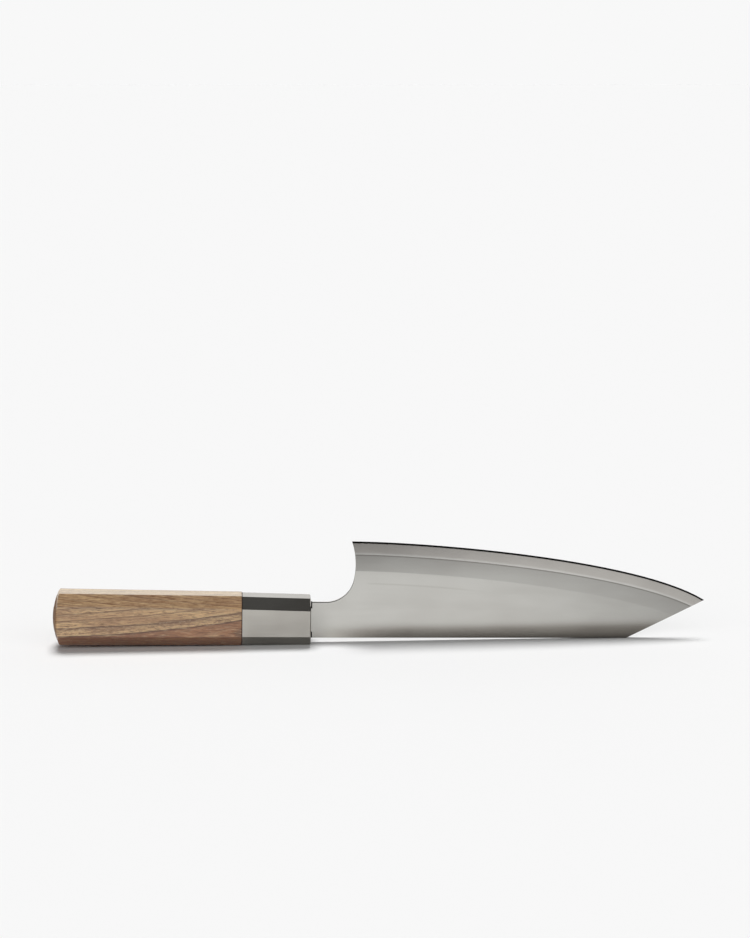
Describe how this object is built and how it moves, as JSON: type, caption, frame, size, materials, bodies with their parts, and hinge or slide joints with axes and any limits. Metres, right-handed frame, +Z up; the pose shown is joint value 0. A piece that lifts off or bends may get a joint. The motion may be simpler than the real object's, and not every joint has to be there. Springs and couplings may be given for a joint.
{
  "type": "boning knife",
  "caption": "Laminated boning knife with a slanted tip, curved choil, octagonal metal ferrule and octagonal wooden handle, standing edge up.",
  "frame": {"origin": "under the middle of the knife's length, on its centre plane, on the surface that it stands on", "axes": "+X along the knife from the butt to the tip, +Z up from the spine to the edge, Y across the blade's thickness"},
  "size_m": [0.2929, 0.0196, 0.0461],
  "materials": {
    "core_steel": "satin, finely polished along the edge",
    "cladding_steel": "satin, fine vertical grinding",
    "ferrule_metal": "satin, fine brushing along the ferrule",
    "seal_resin": "matt black",
    "spacer_fibre": "matt, dark red-brown",
    "handle_wood": "oiled, open-grained hardwood",
    "bedding_resin": "cast, amber"
  },
  "bodies": {
    "root": {"blade_core": "core_steel", "front_cladding": "cladding_steel", "rear_cladding": "cladding_steel", "ferrule": "ferrule_metal", "mouth_seal": "seal_resin", "seam_spacer": "spacer_fibre", "handle_body": "handle_wood", "tang_resin": "bedding_resin"}
  },
  "joints": []
}
